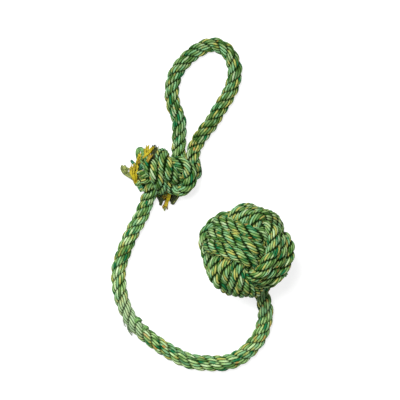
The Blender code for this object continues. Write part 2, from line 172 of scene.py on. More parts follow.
def settle(paths, radii, free, smooth, steps, shell=None, inward=0.0):
    """Let rope paths press on each other until they lie side by side."""
    ends = np.cumsum([0] + [len(p) for p in paths])
    x = np.concatenate(paths)
    radius = np.concatenate(radii)
    loose = np.concatenate(free)
    start = x.copy()
    owner = np.repeat(np.arange(len(paths)), np.diff(ends))
    along = np.concatenate([lengths_along(p) for p in paths])
    clear = radius[:, None] + radius[None]
    near = np.abs(along[:, None] - along[None]) < OWN_STRETCH * clear
    apart = ~((owner[:, None] == owner[None]) & near)
    apart &= np.triu(np.ones(apart.shape, dtype=bool), 1)
    for step in range(steps):
        if shell is not None:
            x = x * (1.0 - inward * max(0.0, 1.0 - step / (DRAWN_IN_BY * steps)))
        square = (x ** 2).sum(axis=1)
        gap2 = square[:, None] + square[None] - 2.0 * x @ x.T
        first, second = np.nonzero(apart & (gap2 < clear ** 2))
        away = x[first] - x[second]
        gap = np.linalg.norm(away, axis=1)[:, None] + NO_GAP
        push = away / gap * (clear[first, second][:, None] - gap) * 0.5
        total = np.zeros_like(x)
        hits = np.ones(len(x))
        np.add.at(total, first, push)
        np.add.at(total, second, -push)
        np.add.at(hits, first, CROWD)
        np.add.at(hits, second, CROWD)
        x = x + PUSH * total / hits[:, None]
        for lo, hi in zip(ends[:-1], ends[1:]):
            middle = (x[lo:hi - 2] + x[lo + 2:hi]) / 2.0 - x[lo + 1:hi - 1]
            x[lo + 1:hi - 1] += smooth * middle
        if shell is None:
            x[:, 2] = np.maximum(x[:, 2], radius)
        else:
            reach = np.linalg.norm(x, axis=1)[:, None]
            limit = shell[1] if step > LID_FROM * steps else LOOSE_LID * shell[1]
            x = x * np.clip(reach, shell[0], limit) / reach
        x[~loose] = start[~loose]
    return [x[lo:hi] for lo, hi in zip(ends[:-1], ends[1:])]


# %% [markdown]
# The fist doesn't stand straight on the floor: its top turns run a little to one side
# and lean over. Turning the finished fist by hand would work, but then its hole would
# have to be looked for. So it gets axes of its own, along its top turns, across them
# and out of them, and the winding is a formula in those axes.

# %% Axes of the fist
FIST_HEADING = -14.0         # degrees: the way that the top turns run
FIST_LEAN = 31.0             # degrees: how far they lean to the left
FIST_NOD = 6.5               # degrees: and how far towards the photograph's top


def fist_axes():
    """The fist's own axes: along the top turns, across them, and out of them."""
    heading = math.radians(FIST_HEADING)
    along = np.array([math.cos(heading), math.sin(heading), 0.0])
    across = np.array([-math.sin(heading), math.cos(heading), 0.0])
    lean = math.sin(math.radians(FIST_LEAN))
    nod = math.sin(math.radians(FIST_NOD))
    out = nod * across - lean * along
    out[2] = math.sqrt(1.0 - out @ out)
    along = along - (along @ out) * out
    along /= np.linalg.norm(along)
    return np.stack([along, np.cross(out, along), out], axis=1)


print("the fist leans over by", round(math.degrees(math.acos(fist_axes()[2, 2]))), "degrees")

# %% [markdown]
# The fist is three sets of three turns, each set square to the next. A set passes
# over one of the others and under the third. Three sets of rings would look alike
# at first glance, but a real fist is one rope, and it shows where a set begins and
# ends. So one formula lays a whole set: its turns swing out on two faces and in on
# the other two, and step sideways as they go. The turns are drawn so tight that they
# press into the ball a little, so they leave less room than it takes up.

# %% One set of turns
BALL_ROOM = 0.0340           # across the room that the turns leave for the ball
TURNS = 3                    # turns in a set
TURN_PITCH = 0.0113          # from one turn to the next
ANGLE_STEP = 5.0             # degrees from point to point
FACE_HALF = 38.0             # degrees that a turn stays out, to each side of a face
FACE_FALL = 26.0             # degrees in which it then dives under
OUTER_LIFT = 1.15            # how far out a turn swings, in pitches
SIDE_DROP = 0.16             # how much closer the side turns of a set lie


def one_set(first_angle, last_angle, pitch):
    """One set of turns: over the two outer faces, under the two inner ones."""
    inner = BALL_ROOM / 2.0 + pitch / 2.0
    outer = inner + OUTER_LIFT * pitch
    count = 1 + round((last_angle - first_angle) / ANGLE_STEP)
    angle = np.radians(np.linspace(first_angle, last_angle, count))
    turned = np.clip((np.degrees(angle) + 90.0) / 360.0, 0.0, TURNS)
    sideways = pitch * (TURNS / 2.0 - turned)
    fold = np.abs((angle + math.pi / 2.0) % math.pi - math.pi / 2.0)
    fall = np.clip((np.degrees(fold) - FACE_HALF) / FACE_FALL, 0.0, 1.0)
    over = 1.0 - fall * fall * (3.0 - 2.0 * fall)
    reach = inner + (outer - inner) * over
    radius = np.sqrt(reach ** 2 - SIDE_DROP * sideways ** 2)
    return np.stack([radius * np.cos(angle), radius * np.sin(angle), sideways], axis=1)


print("points in one rough turn:", len(one_set(0.0, 360.0, TURN_PITCH)) - 1)

# %% [markdown]
# The three sets join end to end into one path, which starts at the hole where the
# rope comes out. The first two sets run on past their last turn, and that stretch
# carries the rope round to where the next set begins. Then the winding settles on
# its ball.

# %% Wind the fist
FIST_HOLE = (0.0165, -0.0290, -0.0195)  # where the rope comes out, from the middle
FIST_REACH = 0.0352          # from the fist's middle to the middle of its outer rope
SET_START = -128.0           # degrees round the ball where a set starts
SET_OVERRUN = 38.0           # degrees that it runs past its last turn
INNERMOST_TURN = 0.45        # its middle lies this far outside that room, in pitches
WAY_IN = 9                   # points from the hole to the first turn
HELD_POINTS = 4              # the path's first points stay in the hole


def fist_path(pitch):
    """The whole winding in the fist's own axes, and the shares of it where sets end."""
    last = 360.0 * TURNS - 90.0
    sets = [one_set(SET_START, last + SET_OVERRUN, pitch)[:, [2, 0, 1]],
            one_set(SET_START, last + SET_OVERRUN, pitch)[:, [1, 2, 0]],
            one_set(SET_START, last, pitch)]
    hole = fist_axes().T @ np.array(FIST_HOLE)
    parts = [np.linspace(hole, sets[0][0], WAY_IN)[:-1]] + sets
    path = np.vstack(parts)
    marks = np.cumsum([len(part) for part in parts])
    shares = lengths_along(path)[marks[1:3]] / lengths_along(path)[-1]
    path = even_points(path, FINE)
    radius = np.full(len(path), pitch / 2.0)
    free = np.ones(len(path), dtype=bool)
    free[:HELD_POINTS] = False
    shell = (BALL_ROOM / 2.0 + INNERMOST_TURN * pitch, FIST_REACH)
    path = settle([path], [radius], [free], smooth=0.15, steps=320, shell=shell,
                  inward=0.02)[0]
    return path, shares


winding, set_shares = fist_path(TURN_PITCH)
print("the rough winding settled to", round(lengths_along(winding)[-1], 3), "m of rope")

# %% [markdown]
# A real fist isn't quite round. Seen from above, its outline dips where one set goes
# under another and swells between. More settling wouldn't find this one fist's own
# shape, so the turns are moved in or out by a small share of the fist's reach. The
# first number of each pair is an angle in degrees, the second the share. The ball's
# place comes from the part. The routes further down were chosen with the fist in one
# place, so they move with it if the ball ever moves.

# %% Give the fist its outline
FIST_DRAWN_AT = (0.0369, -0.0394)  # its middle when the routes were chosen
FIST_OUTLINE = [
    (0, 0.99), (10, 0.98), (20, 0.93), (30, 0.93), (70, 1.00), (90, 1.00), (110, 0.95),
    (120, 0.97), (140, 1.03), (160, 1.07), (190, 0.93), (220, 1.07), (240, 0.99),
    (260, 1.01), (310, 0.95), (330, 0.96), (350, 1.00),
]


def outlined(path):
    """Move the turns in or out, most of all where they are widest."""
    flat = path[:, :2]
    reach = np.linalg.norm(flat, axis=1)
    around = np.degrees(np.arctan2(flat[:, 1], flat[:, 0]))
    share = np.interp(around, *zip(*FIST_OUTLINE), period=360.0)
    wide = np.minimum(1.0, reach / FIST_REACH) ** 2
    shift = (share - 1.0) * wide * (FIST_REACH + FIST_ROPE / 2.0)
    return path + np.column_stack([flat * (shift / reach)[:, None], 0.0 * reach])


core_low, core_high = (np.array(corner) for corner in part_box("fist_core"))
fist_middle = (core_low + core_high) / 2.0
moved = np.array([*(fist_middle[:2] - np.array(FIST_DRAWN_AT)), 0.0])
fist = outlined(winding @ fist_axes().T) + fist_middle
print("rope in the fist:", round(lengths_along(fist)[-1], 3), "m")

# %% [markdown]
# The lead lies on the floor in a wide curve, and its end runs on into the knot. No
# formula gives the way that a slack rope happens to fall, so its points are listed
# one by one, as they are for the part's own solids. The two lists stand within a few
# millimetres of each other, and the turns of the knot lie a little closer here.

# %% Route of the lead and its end
LEAD_ROUTE = [
    (0.0528, -0.0895, 0.0095), (0.0524, -0.0981, 0.0072), (0.0501, -0.1073, 0.0066),
    (0.0453, -0.1168, 0.0062), (0.0336, -0.1288, 0.0062), (0.0197, -0.1350, 0.0062),
    (0.0051, -0.1355, 0.0062), (-0.0123, -0.1335, 0.0062), (-0.0297, -0.1250, 0.0062),
    (-0.0448, -0.1147, 0.0062), (-0.0544, -0.1068, 0.0062), (-0.0633, -0.0952, 0.0062),
    (-0.0692, -0.0816, 0.0062), (-0.0716, -0.0686, 0.0062), (-0.0718, -0.0556, 0.0062),
    (-0.0670, -0.0396, 0.0062), (-0.0602, -0.0240, 0.0062), (-0.0515, -0.0083, 0.0062),
    (-0.0476, 0.0020, 0.0064),
]
LEAD_END_ROUTE = [
    (-0.0464, 0.0075, 0.0072), (-0.0455, 0.0140, 0.0095), (-0.0425, 0.0205, 0.0130),
    (-0.0375, 0.0235, 0.0150), (-0.0325, 0.0218, 0.0140), (-0.0275, 0.0180, 0.0135),
    (-0.0215, 0.0160, 0.0150), (-0.0154, 0.0164, 0.0185), (-0.0103, 0.0198, 0.0215),
    (-0.0088, 0.0246, 0.0240), (-0.0102, 0.0300, 0.0265), (-0.0152, 0.0346, 0.0285),
    (-0.0225, 0.0362, 0.0290), (-0.0280, 0.0350, 0.0260), (-0.0335, 0.0315, 0.0215),
    (-0.0400, 0.0272, 0.0200), (-0.0465, 0.0240, 0.0200), (-0.0530, 0.0215, 0.0200),
]
print("points of the lead and of its end:", len(LEAD_ROUTE), len(LEAD_END_ROUTE))

# %% [markdown]
# The eye is the second length of rope. Its left leg dives under the knot and winds
# round it twice, and its right leg turns once and runs through to the left. Only the
# upper side can be seen, so the points below it are a guess that gives the same
# crossings from above. The knot's inside is left to the settling.

# %% Route of the eye and its legs
EYE_ROUTE = [
    (-0.0207, 0.0490, 0.0064), (-0.0203, 0.0618, 0.0062), (-0.0210, 0.0726, 0.0062),
    (-0.0250, 0.0826, 0.0062), (-0.0268, 0.0930, 0.0062), (-0.0257, 0.1035, 0.0062),
    (-0.0220, 0.1132, 0.0062), (-0.0137, 0.1234, 0.0062), (-0.0034, 0.1311, 0.0062),
    (0.0089, 0.1353, 0.0062), (0.0209, 0.1292, 0.0062), (0.0265, 0.1168, 0.0062),
    (0.0267, 0.1096, 0.0062), (0.0246, 0.1001, 0.0062), (0.0205, 0.0910, 0.0062),
    (0.0128, 0.0787, 0.0062), (0.0067, 0.0683, 0.0062), (-0.0024, 0.0575, 0.0062),
    (-0.0068, 0.0500, 0.0064),
]
RIGHT_LEG_ROUTE = [
    (-0.0112, 0.0425, 0.0070), (-0.0112, 0.0365, 0.0075), (-0.0092, 0.0305, 0.0080),
    (-0.0068, 0.0240, 0.0080), (-0.0094, 0.0182, 0.0080), (-0.0165, 0.0184, 0.0105),
    (-0.0235, 0.0225, 0.0140), (-0.0300, 0.0245, 0.0155), (-0.0360, 0.0245, 0.0155),
    (-0.0428, 0.0215, 0.0140), (-0.0490, 0.0185, 0.0115), (-0.0545, 0.0155, 0.0090),
]
LEFT_LEG_ROUTE = [
    (-0.0210, 0.0400, 0.0060), (-0.0215, 0.0300, 0.0056), (-0.0225, 0.0225, 0.0070),
    (-0.0224, 0.0190, 0.0160), (-0.0246, 0.0202, 0.0290), (-0.0292, 0.0278, 0.0365),
    (-0.0336, 0.0383, 0.0338), (-0.0352, 0.0430, 0.0200), (-0.0352, 0.0385, 0.0080),
    (-0.0348, 0.0285, 0.0054), (-0.0338, 0.0200, 0.0060), (-0.0336, 0.0156, 0.0155),
    (-0.0366, 0.0180, 0.0295), (-0.0416, 0.0268, 0.0365), (-0.0468, 0.0355, 0.0315),
    (-0.0480, 0.0382, 0.0190), (-0.0450, 0.0320, 0.0075), (-0.0405, 0.0210, 0.0054),
    (-0.0360, 0.0130, 0.0052), (-0.0330, 0.0075, 0.0052),
]
print("points of the eye and of its legs:", len(EYE_ROUTE), len(RIGHT_LEG_ROUTE),
      len(LEFT_LEG_ROUTE))

# %% [markdown]
# Each rope is one path from end to end. Where it goes into the knot it is drawn
# thinner, over about its own width. Only what is inside the knot, and the last bit
# before it, will be free to move. The slack stretches stay where the photograph has
# them, and so do the cut ends.

# %% Join the routes
HELD_END = 0.006             # at each cut end, this much stays where it is
into_fist = (fist[1] - fist[0]) / np.linalg.norm(fist[1] - fist[0])
leaving = [fist[0] - moved - step * ROPE * into_fist for step in (0.0, 0.5, 1.0)]
lead = smooth_route(leaving + LEAD_ROUTE + LEAD_END_ROUTE, FINE)
eye = smooth_route(LEFT_LEG_ROUTE[::-1] + EYE_ROUTE + RIGHT_LEG_ROUTE, FINE)
lead_in = nearest_to(lead, LEAD_ROUTE[-1])  # the point where it goes into the knot
left_in = nearest_to(eye, EYE_ROUTE[0])
right_in = nearest_to(eye, EYE_ROUTE[-1])


def drawn_width(along, slack, tight):
    """How wide the rope is at each place: full in the slack stretch."""
    past = np.minimum(along - slack[0], slack[1] - along)
    return tight + (ROPE - tight) * np.clip(past / TAPER, 0.0, 1.0)


lead_along = lengths_along(lead)
eye_along = lengths_along(eye)
lead_width = drawn_width(lead_along, (0.0, lead_along[lead_in]), KNOT_ROPE)
eye_width = drawn_width(eye_along, (eye_along[left_in], eye_along[right_in]), KNOT_ROPE)
lead_free = lead_along > lead_along[lead_in] - ROPE
lead_free &= lead_along < lead_along[-1] - HELD_END
eye_free = (eye_along < eye_along[left_in] + ROPE) | (eye_along > eye_along[right_in] - ROPE)
eye_free &= (eye_along > HELD_END) & (eye_along < eye_along[-1] - HELD_END)
print("points that may move:", lead_free.sum(), "of the lead's and", eye_free.sum(),
      "of the eye's")

# %% [markdown]
# Then the two ropes settle against each other. Pulled tight, rope gives way a good
# deal, and most of all inside the two wraps. So each turn claims less room than it
# takes up, and the turns end up pressed together as they are in the real knot.

# %% Settle the two ropes
CLAIM = 0.40                 # how far a turn keeps others off, as a share of its width
WRAPPED_CLAIM = 0.26         # the same inside the wraps; 0.5 would be hard rope
WRAPPED_LOW = (-0.046, 0.019, 0.009)
WRAPPED_HIGH = (-0.027, 0.036, 0.028)


def claimed(path):
    """The share of its width that the rope claims at each point."""
    inside = ((path > np.array(WRAPPED_LOW)) & (path < np.array(WRAPPED_HIGH))).all(axis=1)
    return np.where(inside, WRAPPED_CLAIM, CLAIM)


lead, eye = settle([lead, eye], [claimed(lead) * lead_width, claimed(eye) * eye_width],
                   [lead_free, eye_free], smooth=0.05, steps=140)
lead = lead + moved
eye = eye + moved
print("lead and end", round(lengths_along(lead)[-1], 3), "m, eye and legs",
      round(lengths_along(eye)[-1], 3), "m")

# %% [markdown]
# A strand winds round the rope's middle like the thread of a screw. To place it, the
# path carries a pair of side directions along with it. A fixed "up" would make the
# strands jump wherever the rope stands upright. So the pair never spins: each is the
# last one, turned only as far as the path itself turns.

# %% Side directions along a path
ANY_WAY = (0.31, 0.17, 0.93)  # any direction that no rope here starts along


def side_directions(path):
    """Two directions square to the path at each point, carried without spin."""
    onward = np.gradient(path, axis=0)
    onward /= np.linalg.norm(onward, axis=1)[:, None]
    first = np.cross(onward[0], ANY_WAY)
    sides = [first / np.linalg.norm(first)]
    for heading in onward[1:]:
        side = sides[-1] - (sides[-1] @ heading) * heading
        sides.append(side / np.linalg.norm(side))
    sides = np.array(sides)
    return sides, np.cross(onward, sides)


sides = side_directions(corner)[0]
print("round the corner the side direction turns by",
      round(math.degrees(math.acos(sides[0] @ sides[-1]))), "degrees")

# %% [markdown]
# The outline of one strand is a circle with a shallow dip between every two yarns.
# Blender sweeps that outline along a curve. The tilt at each point of the curve
# turns it back against the strand's own winding, which is what a rope walk does, so
# that the yarns on the outside of the rope run along the rope.

# %% Outline of a strand
DIP_POWER = 2.5              # more makes the dips narrower


def strand_outline():
    """A closed curve with one bump to a yarn, for sweeping along a strand."""
    curve = bpy.data.curves.new("strand_outline", "CURVE")
    curve.dimensions = "2D"
    spline = curve.splines.new("POLY")
    count = YARNS * YARN_POINTS
    spline.points.add(count - 1)
    for k in range(count):
        dip = abs(math.cos(math.pi * k / YARN_POINTS)) ** DIP_POWER
        reach = 1.0 - GROOVE * dip
        turn = 2.0 * math.pi * k / count
        spline.points[k].co = (reach * math.cos(turn), reach * math.sin(turn), 0.0, 1.0)
    spline.use_cyclic_u = True
    return put("strand_outline", curve)


outline = strand_outline()
print("points round a strand:", YARNS * YARN_POINTS)

# %% [markdown]
# One stretch of rope is three such strands, a third of a turn apart. A bump map on a
# plain tube would be lighter, but its outline would stay smooth, and the notched
# edge is what tells the eye that this is rope. A whole rope is worked out once, from
# end to end, and then cut into stretches. So the strands of one piece run on into
# the next without a step.

# %% Three strands
def laid_strands(path, width):
    """The middles of three strands, their widths, and the turn of their outline."""
    along = lengths_along(path)
    side, up = side_directions(path)
    strand = STRAND_SHARE * width
    ring = width / 2.0 - strand
    turns = along / LAY
    slope = math.atan(2.0 * math.pi * ring.mean() / LAY)
    back = math.cos(slope) - (1.0 + ring.mean() / strand.mean()) / math.cos(slope)
    strands = []
    for k in range(3):
        angle = (2.0 * math.pi * (turns + k / 3.0))[:, None]
        strands.append(path + ring[:, None] * (np.cos(angle) * side + np.sin(angle) * up))
    return strands, strand, 2.0 * math.pi * back * turns


strand_lean = math.atan(2.0 * math.pi * (0.5 - STRAND_SHARE) * ROPE / LAY)
print("the strands lie", round(math.degrees(strand_lean)), "degrees off the rope's own line")

# %% [markdown]
# Now the outline is swept along one strand. The mesh could be built ring by ring, but
# a curve with a bevel does the same and brings a UV map with it, which runs along
# the strand and round it. That map is rewritten in yarns and centimetres, so that
# the dye can tell one yarn from the next.

# %% Sweep one strand
def swept_mesh(name, curve):
    """The mesh that Blender sweeps along a curve."""
    obj = put(name, curve)
    graph = bpy.context.evaluated_depsgraph_get()
    mesh = bpy.data.meshes.new_from_object(obj.evaluated_get(graph))
    bpy.data.objects.remove(obj, do_unlink=True)
    return mesh


def strand_mesh(name, middle, radius, tilt, yarns_before, start, length):
    """Sweep the outline along one strand, and number its yarns in the UV map."""
    curve = bpy.data.curves.new(name, "CURVE")
    curve.dimensions = "3D"
    curve.bevel_mode = "OBJECT"
    curve.bevel_object = outline
    curve.use_fill_caps = True
    spline = curve.splines.new("POLY")
    spline.points.add(len(middle) - 1)
    flat = np.hstack([middle, np.ones((len(middle), 1))]).ravel()
    spline.points.foreach_set("co", flat)
    spline.points.foreach_set("radius", radius)
    spline.points.foreach_set("tilt", tilt)
    mesh = swept_mesh(name, curve)
    uv = np.zeros(2 * len(mesh.loops))
    mesh.uv_layers[0].data.foreach_get("uv", uv)
    uv = uv.reshape(-1, 2)
    uv = np.stack([yarns_before + YARNS * uv[:, 1], 100.0 * (start + length * uv[:, 0])],
                  axis=1)
    mesh.uv_layers[0].data.foreach_set("uv", uv.ravel())
    return mesh


# %% [markdown]
# Strands that are laid together press each other flat where they touch. Cutting them
# against each other would leave hard creases. Instead a point that lies deep between
# two strands moves outwards, and one on a crest stays. Each point also remembers how
# far out from the rope's middle it lies, so that the finish can paint shade into the
# grooves. Nothing may reach below the floor.

# %% Press the strands together
def nearest_steps(points, path):
    """For each point, the index of the path's point that it lies nearest to."""
    tree = kdtree.KDTree(len(path))
    for k, point in enumerate(path):
        tree.insert(point, k)
    tree.balance()
    return np.array([tree.find(point)[1] for point in points])


def press_strands(mesh, path, width, lo, hi):
    """Press the strands into each other, and mark how far out each point lies."""
    points = np.zeros(3 * len(mesh.vertices))
    mesh.vertices.foreach_get("co", points)
    points = points.reshape(-1, 3)
    near = lo + nearest_steps(points, path[lo:hi])
    onward = np.gradient(path, axis=0)
    onward /= np.linalg.norm(onward, axis=1)[:, None]
    ahead = ((points - path[near]) * onward[near]).sum(axis=1)
    middle = path[near] + ahead[:, None] * onward[near]
    out = points - middle
    share = np.linalg.norm(out, axis=1) / (width[near] / 2.0)
    pressed = share ** PRESSED
    points = middle + out * (pressed / share)[:, None]
    points[:, 2] = np.maximum(points[:, 2], FLOOR_AIR)
    mesh.vertices.foreach_set("co", points.ravel())
    # how far out each point lies; the finish paints shade into the grooves from it
    mark = mesh.attributes.new("out_from_middle", "FLOAT", "POINT")
    mark.data.foreach_set("value", pressed)


print("half way out, a point moves out by", round(0.5 ** PRESSED / 0.5 - 1.0, 2),
      "of its distance; on a crest it stays")

# %% [markdown]
# Now a stretch of rope can be made between any two distances along its path. It is
# one piece with one finish, and it rides on the object's only body, since nothing in
# a knotted rope is a joint.

# %% Make one stretch of rope
def rope_stretch(name, path, width, first, last, finish):
    """The rope between two distances along its path, as one piece."""
    strands, radius, tilt = laid_strands(path, width)
    along = lengths_along(path)
    lo, hi = np.searchsorted(along, [first, last])
    hi = min(hi + 1, len(path))
    joined = bmesh.new()
    for k, middle in enumerate(strands):
        mesh = strand_mesh(name, middle[lo:hi], radius[lo:hi], tilt[lo:hi], k * YARNS,
                           along[lo], along[hi - 1] - along[lo])
        joined.from_mesh(mesh)
        bpy.data.meshes.remove(mesh)
    mesh = bpy.data.meshes.new(name)
    joined.to_mesh(mesh)
    joined.free()
    press_strands(mesh, path, width, lo, hi)
    mesh.shade_smooth()
    mesh.materials.append(finish)
    obj = put(name, mesh)
    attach(obj, "root")
    triangles = sum(len(face.vertices) - 2 for face in mesh.polygons)
    print(name, round((last - first) * 1000), "mm of rope,", triangles, "triangles")
    return obj


# %% [markdown]
# The rope is dyed yarn by yarn. Most yarns are some green, a few are yellow or
# nearly orange, and a few turn to a deep sea green. The dye changes slowly along a
# yarn and not at all across it. An image could be painted for that, but it would
# have to fit every strand, so the pattern is worked out from the yarn's number and
# the length along it, both kept in the UV map. The ramp runs from the darkest green
# to the palest.

# %% Colours of the yarns
def written(red, green, blue):
    """A colour written as on a screen, turned by the screen's curve into light."""
    parts = []
    for value in (red, green, blue):
        share = value / 255.0
        parts.append(share / 12.92 if share < 0.04045 else ((share + 0.055) / 1.055) ** 2.4)
    return (*parts, 1.0)


GREENS = [
    (0.00, written(40, 78, 24)),
    (0.25, written(68, 106, 46)),
    (0.45, written(100, 138, 74)),
    (0.65, written(132, 164, 102)),
    (0.85, written(156, 182, 130)),
    (1.00, written(170, 192, 150)),
]
SEA_GREEN = written(26, 104, 62)
MINT = written(120, 168, 118)
STRAW = written(166, 168, 88)
RUST = written(166, 138, 74)
FADED = written(166, 192, 146)
# The last two colours are painted shade: the first darkens the hollows between yarns, the second
# the deep grooves.
DIP_SHADE = written(14, 44, 4)
SHADE = written(10, 32, 3)
print("greens in the ramp:", len(GREENS), "and the palest of them as light:",
      [round(part, 2) for part in GREENS[-1][1][:3]])

# %% [markdown]
# Every finish is a tree of nodes. These small helpers keep the trees short: one
# starts a finish, one adds a node and sets its values, and the others do sums,
# spread a value over a new range, and mix two colours.

# %% Node helpers
def new_finish(name):
    """A new material, with its node tree and its main shader."""
    mat = bpy.data.materials.new(name)
    mat.use_nodes = True
    return mat, mat.node_tree, mat.node_tree.nodes["Principled BSDF"]


def add_node(tree, kind, **values):
    """A new node with some of its own settings."""
    node = tree.nodes.new(kind)
    for key, value in values.items():
        setattr(node, key, value)
    return node


def plug(tree, socket, value):
    """Set a socket to a number or a colour, or link it to another socket."""
    if isinstance(value, bpy.types.NodeSocket):
        tree.links.new(value, socket)
    else:
        socket.default_value = value


def maths(tree, operation, a, b=0.0):
    """One sum."""
    node = add_node(tree, "ShaderNodeMath", operation=operation)
    plug(tree, node.inputs[0], a)
    plug(tree, node.inputs[1], b)
    return node.outputs[0]


def ranged(tree, value, low, high, new_low=0.0, new_high=1.0):
    """Spread a value smoothly from one range to another."""
    node = add_node(tree, "ShaderNodeMapRange", interpolation_type="SMOOTHSTEP")
    for socket, number in zip(node.inputs, (value, low, high, new_low, new_high)):
        plug(tree, socket, number)
    return node.outputs[0]


def mixed(tree, share, a, b, blend="MIX"):
    """Two colours mixed."""
    node = add_node(tree, "ShaderNodeMix", data_type="RGBA", blend_type=blend)
    plug(tree, node.inputs[0], share)
    plug(tree, node.inputs[6], a)
    plug(tree, node.inputs[7], b)
    return node.outputs[2]


# %% [markdown]
# Dye and fibres are patterns on the yarns. Noise gives soft patches, and the same
# noise drawn out along a yarn gives its fibres. The UV map says where on which yarn
# a point lies. The fibres are raised with a bump, because real ones would need far
# more triangles than the whole rope has.

# %% Patterns
def patches(tree, across, along, offset, detail=1.0):
    """Soft patches on a plane whose two directions are scaled on their own."""
    place = add_node(tree, "ShaderNodeCombineXYZ")
    plug(tree, place.inputs[0], across)
    plug(tree, place.inputs[1], along)
    place.inputs[2].default_value = offset
    noise = add_node(tree, "ShaderNodeTexNoise")
    noise.inputs["Scale"].default_value = 1.0
    noise.inputs["Detail"].default_value = detail
    tree.links.new(place.outputs[0], noise.inputs["Vector"])
    return noise.outputs["Fac"]


def yarn_map(tree):
    """The two values of the UV map, first and second."""
    uv = add_node(tree, "ShaderNodeUVMap", uv_map="UVMap")
    split = add_node(tree, "ShaderNodeSeparateXYZ")
    tree.links.new(uv.outputs[0], split.inputs[0])
    return split.outputs[0], split.outputs[1]


def raise_fibres(tree, shader, height, strength, distance):
    """Raise the surface where a value is high."""
    bump = add_node(tree, "ShaderNodeBump")
    bump.inputs["Strength"].default_value = strength
    bump.inputs["Distance"].default_value = distance
    tree.links.new(height, bump.inputs["Height"])
    tree.links.new(bump.outputs[0], shader.inputs["Normal"])


# %% [markdown]
# The dyes come first: a ramp of greens, with the rarer dyes laid over it. Each dye has
# a noise of its own and shows only where that noise is high, so that two dyes start
# and end at different places of a yarn.

# %% Dyes of the rope
YARN_JUMP = 7.31             # carries each yarn to a part of the noise of its own
TONE_PACE = 1.05             # changes of tone in a centimetre of yarn
TONE_RANGE = (0.26, 0.74)    # the noise's values that the whole ramp is spread over
DYES = (                     # dye, how rare it is, changes in a centimetre, its own noise
    (SEA_GREEN, 0.61, 1.0, 11.0),
    (MINT, 0.58, 0.9, 17.0),
    (STRAW, 0.60, 1.1, 23.0),
    (RUST, 0.70, 2.1, 37.0),
)
DYE_EDGE = (-0.04, 0.05)     # how softly a dye starts, below and above its limit


def dyed(tree, across, along, strength, pale):
    """The colours of the yarns: a ramp of greens with the rarer dyes over it."""
    yarn = maths(tree, "MULTIPLY", maths(tree, "FLOOR", across), YARN_JUMP)
    tone = patches(tree, yarn, maths(tree, "MULTIPLY", along, TONE_PACE), 0.0, 2.0)
    ramp = add_node(tree, "ShaderNodeValToRGB")
    tree.links.new(ranged(tree, tone, *TONE_RANGE), ramp.inputs[0])
    stops = ramp.color_ramp.elements
    while len(stops) < len(GREENS):
        stops.new(0.5)
    for stop, (place, colour) in zip(stops, GREENS):
        stop.position = place
        stop.color = (*[min(1.0, strength * part + pale) for part in colour[:3]], 1.0)
    colour = ramp.outputs[0]
    for dye, limit, pace, offset in DYES:
        field = patches(tree, yarn, maths(tree, "MULTIPLY", along, pace), offset)
        share = ranged(tree, field, limit + DYE_EDGE[0], limit + DYE_EDGE[1])
        colour = mixed(tree, share, colour, dye)
    return colour


print("rarer dyes over the greens:", len(DYES))

# %% [markdown]
# Over the dyes, fine streaks along each yarn stand for its fibres, and they also
# raise the surface. Then shade is painted into the hollows between yarns and into the
# deep grooves. The finish is made four times with other strengths, because the eye
# is a deep green, the fist and the knot get the most painted shade in their grooves,
# and the lead is pale and, in one place, worn and faded.

# %% Finish of the rope
FADED_MOST = 0.74            # of the dye is gone where the rope is most worn
FADED_CORE = 0.4             # share of the worn stretch that is faded as much as that
FIBRES = (4.0, 1.9)          # streaks across one yarn, and in a centimetre along it
FIBRE_RANGE = (0.3, 0.7)     # the noise's values from the darkest streak to the lightest
FIBRE_TONES = ((0.86, 0.86, 0.86, 1.0), (1.08, 1.08, 1.08, 1.0))
DEEP = (0.70, 0.88)          # how far out the shade of the deep grooves starts and ends


def rope_finish(name, strength, pale, dip_shade, shade, spread, worn=None):
    """Dyed three-strand rope, with its dye's strength and painted shade between yarns and in
    grooves.
    """
    mat, tree, shader = new_finish(name)
    across, along = yarn_map(tree)
    colour = dyed(tree, across, along, strength, pale)
    if worn is not None:
        place, half = worn
        away = maths(tree, "ABSOLUTE", maths(tree, "SUBTRACT", along, place))
        share = ranged(tree, away, FADED_CORE * half, half, FADED_MOST, 0.0)
        colour = mixed(tree, share, colour, FADED)
    streak = patches(tree, maths(tree, "MULTIPLY", across, FIBRES[0]),
                     maths(tree, "MULTIPLY", along, FIBRES[1]), 51.0, 3.0)
    tones = mixed(tree, ranged(tree, streak, *FIBRE_RANGE), *FIBRE_TONES)
    colour = mixed(tree, 1.0, colour, tones, "MULTIPLY")
    # Painted shade between yarns: the colour turns towards a dark green where one yarn meets the
    # next.
    wave = maths(tree, "SINE", maths(tree, "MULTIPLY", across, math.pi))
    dip = ranged(tree, maths(tree, "ABSOLUTE", wave), 0.02, spread, dip_shade, 0.0)
    colour = mixed(tree, dip, colour, DIP_SHADE)
    # Painted shade in the grooves: points that lie deeper towards the rope's middle are mixed
    # towards the darkest colour.
    reach = add_node(tree, "ShaderNodeAttribute", attribute_name="out_from_middle")
    deep = ranged(tree, reach.outputs["Fac"], *DEEP, shade, 0.0)
    plug(tree, shader.inputs["Base Color"], mixed(tree, deep, colour, SHADE))
    shader.inputs["Roughness"].default_value = 0.55
    shader.inputs["Specular IOR Level"].default_value = 0.03
    raise_fibres(tree, shader, streak, 0.45, 0.0004)
    return mat


# Each finish paints shade between its yarns and into its grooves; the fist's and the knot's
# paint the most shade into their grooves.
rope_eye = rope_finish("eye_rope", strength=0.83, pale=0.0, dip_shade=1.00, shade=0.82, spread=0.92)
rope_fist = rope_finish("fist_rope", strength=1.08, pale=0.0, dip_shade=0.98, shade=0.95, spread=0.76)
rope_knot = rope_finish("knot_rope", strength=0.98, pale=0.0, dip_shade=0.99, shade=0.98, spread=0.76)
print("nodes in the finish of the eye's rope:", len(rope_eye.node_tree.nodes))

